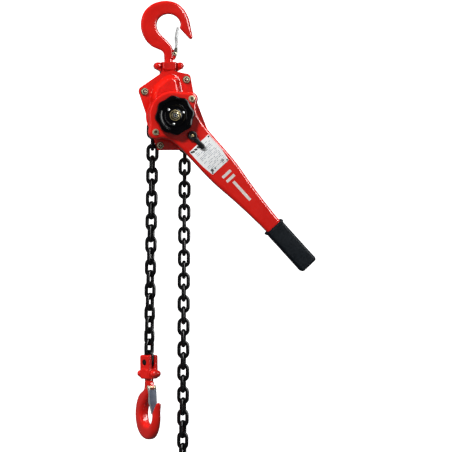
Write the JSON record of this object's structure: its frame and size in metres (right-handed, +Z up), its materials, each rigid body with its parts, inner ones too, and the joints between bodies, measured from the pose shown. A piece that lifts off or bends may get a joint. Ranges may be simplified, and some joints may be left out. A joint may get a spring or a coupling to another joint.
{
  "type": "lever chain hoist",
  "caption": "Hand-operated ratchet lever hoist: top swivel hook with latch, drum-shaped body with handwheel, long gripped lever, link chain over a pocket wheel and a swivelling load hook.",
  "frame": {"origin": "seat of the top hook's bowl, where the hoist hangs", "axes": "+Z up along the hanging line, +Y to the gear cover at the back, front (lever and handwheel) faces -Y"},
  "size_m": [0.364, 0.1614, 0.9621],
  "materials": {
    "red_enamel": "gloss",
    "black_oxide": "satin",
    "black_gloss": "gloss",
    "black_rubber": "matte",
    "yellow_zinc": "satin",
    "steel": "satin",
    "zinc_sheet": "satin",
    "plate_white": "satin",
    "friction_lining": "matte"
  },
  "bodies": {
    "top_hook": {"top_hook": "red_enamel", "top_latch_pin": "yellow_zinc"},
    "top_latch": {"top_latch": "zinc_sheet"},
    "top_yoke": {"top_yoke_front": "red_enamel", "top_yoke_rear": "red_enamel", "top_yoke_bolt_left": "red_enamel", "top_yoke_bolt_right": "red_enamel"},
    "hoist_body": {"suspension_pin": "steel", "front_side_plate": "red_enamel", "rear_side_plate": "red_enamel", "stay_bolt_1": "yellow_zinc", "stay_bolt_2": "yellow_zinc", "stay_bolt_3": "yellow_zinc", "stay_bolt_4": "yellow_zinc", "stay_nut_1": "yellow_zinc", "stay_nut_2": "yellow_zinc", "stay_nut_3": "yellow_zinc", "stay_nut_4": "yellow_zinc", "brake_cover": "red_enamel", "gear_cover": "red_enamel", "chain_guide": "black_oxide", "sheave_bearing_front": "steel", "sheave_bearing_rear": "steel"},
    "lever": {"lever_front": "red_enamel", "lever_rear": "red_enamel", "lever_bolt_upper": "yellow_zinc", "lever_bolt_lower": "yellow_zinc", "lever_grip": "black_rubber", "nameplate": "plate_white"},
    "selector": {"selector_lever": "black_gloss", "selector_screw": "yellow_zinc", "change_pawl": "steel"},
    "handwheel": {"handwheel": "black_gloss", "handwheel_nut": "yellow_zinc", "drive_shaft": "steel", "change_gear": "steel", "friction_disc_front": "friction_lining", "ratchet_disc": "steel", "friction_disc_rear": "friction_lining", "brake_hub": "steel"},
    "reduction_1": {"reduction_gear_1": "steel"},
    "reduction_2": {"reduction_gear_2": "steel"},
    "sheave": {"load_sheave": "steel", "load_gear": "steel", "sheave_chain": "black_oxide"},
    "load_feed": {"load_chain_top_link": "black_oxide"},
    "load_strand": {"load_chain": "black_oxide"},
    "tail_feed": {"tail_chain_top_link": "black_oxide"},
    "tail_strand": {"tail_chain": "black_oxide"},
    "bottom_yoke": {"bottom_yoke_front": "red_enamel", "bottom_yoke_rear": "red_enamel", "bottom_yoke_bolt_left": "red_enamel", "bottom_yoke_bolt_right": "red_enamel", "chain_pin": "black_oxide"},
    "bottom_hook": {"bottom_hook": "red_enamel", "bottom_latch_pin": "yellow_zinc"},
    "bottom_latch": {"bottom_latch": "zinc_sheet"},
    "brake_pawl_1": {"brake_pawl_1": "steel"},
    "brake_pawl_2": {"brake_pawl_2": "steel"}
  },
  "joints": [
    {"name": "top_latch_hinge", "type": "hinge", "parent": "top_hook", "child": "top_latch", "pos_m": [0.01284, -0.00203, -0.0825], "axis": [0.1564, 0.9877, 0], "range_deg": [-28, 0], "stiffness_Nm_per_rad": 0.03, "springref_deg": 8.59},
    {"name": "top_swivel", "type": "hinge", "parent": "top_hook", "child": "top_yoke", "pos_m": [0, 0, -0.1], "axis": [0, 0, 1], "continuous": true},
    {"name": "suspension_swing", "type": "hinge", "parent": "top_yoke", "child": "hoist_body", "pos_m": [0, 0, -0.134], "axis": [0, 1, 0], "range_deg": [-12, 12]},
    {"name": "lever_turn", "type": "hinge", "parent": "hoist_body", "child": "lever", "pos_m": [0.001, -0.06, -0.212], "axis": [0, 1, 0], "continuous": true},
    {"name": "selector_turn", "type": "hinge", "parent": "lever", "child": "selector", "pos_m": [0.03883, -0.078, -0.25329], "axis": [0, 1, 0], "range_deg": [-16, 16]},
    {"name": "handwheel_turn", "type": "hinge", "parent": "hoist_body", "child": "handwheel", "pos_m": [0.001, -0.06, -0.212], "axis": [0, 1, 0], "range_deg": [-360, 10]},
    {"name": "reduction_1_turn", "type": "hinge", "parent": "hoist_body", "child": "reduction_1", "pos_m": [-0.00494, 0.038, -0.17832], "axis": [0, 1, 0], "range_deg": [-3, 101]},
    {"name": "reduction_2_turn", "type": "hinge", "parent": "hoist_body", "child": "reduction_2", "pos_m": [0.00694, 0.038, -0.24568], "axis": [0, 1, 0], "range_deg": [-3, 101]},
    {"name": "sheave_turn", "type": "hinge", "parent": "hoist_body", "child": "sheave", "pos_m": [0.001, 0, -0.212], "axis": [0, 1, 0], "range_deg": [-34, 1]},
    {"name": "load_feed_slide", "type": "slide", "parent": "hoist_body", "child": "load_feed", "axis": [-0.0185, 0, -0.9998], "range_m": [-0.00056, 0.0198]},
    {"name": "load_strand_swing", "type": "hinge", "parent": "load_feed", "child": "load_strand", "pos_m": [-0.03282, 0, -0.22915], "axis": [0, 1, 0], "range_deg": [-2, 5]},
    {"name": "tail_feed_slide", "type": "slide", "parent": "hoist_body", "child": "tail_feed", "axis": [-0.0079, 0, -1], "range_m": [-0.0198, 0.00056]},
    {"name": "tail_strand_swing", "type": "hinge", "parent": "tail_feed", "child": "tail_strand", "pos_m": [0.03433, 0, -0.23415], "axis": [0, 1, 0], "range_deg": [-5, 2]},
    {"name": "bottom_yoke_swing", "type": "hinge", "parent": "load_strand", "child": "bottom_yoke", "pos_m": [-0.04201, 0, -0.72571], "axis": [0.8089, 0.5878, -0.015], "range_deg": [-9, 14]},
    {"name": "bottom_swivel", "type": "hinge", "parent": "bottom_yoke", "child": "bottom_hook", "pos_m": [-0.04172, -0.00126, -0.75989], "axis": [-0.0082, 0.0367, 0.9993], "continuous": true},
    {"name": "bottom_latch_hinge", "type": "hinge", "parent": "bottom_hook", "child": "bottom_latch", "pos_m": [-0.03771, -0.0143, -0.77689], "axis": [-0.9547, -0.2976, 0.0031], "range_deg": [-28, 0], "stiffness_Nm_per_rad": 0.03, "springref_deg": 8.59},
    {"name": "brake_pawl_1_hinge", "type": "hinge", "parent": "hoist_body", "child": "brake_pawl_1", "pos_m": [0.03718, -0.031, -0.19883], "axis": [0, 1, 0], "range_deg": [0, 12], "stiffness_Nm_per_rad": 0.01, "springref_deg": -8.59},
    {"name": "brake_pawl_2_hinge", "type": "hinge", "parent": "hoist_body", "child": "brake_pawl_2", "pos_m": [-0.03518, -0.031, -0.22517], "axis": [0, 1, 0], "range_deg": [0, 12], "stiffness_Nm_per_rad": 0.01, "springref_deg": -8.59}
  ],
  "couplings": [
    {"joint": "reduction_1_turn", "follows": "handwheel_turn", "ratio": -0.28},
    {"joint": "reduction_2_turn", "follows": "handwheel_turn", "ratio": -0.28},
    {"joint": "sheave_turn", "follows": "handwheel_turn", "ratio": 0.093333},
    {"joint": "load_feed_slide", "follows": "handwheel_turn", "m_per_rad": -0.0031267},
    {"joint": "tail_feed_slide", "follows": "handwheel_turn", "m_per_rad": 0.0031267}
  ]
}
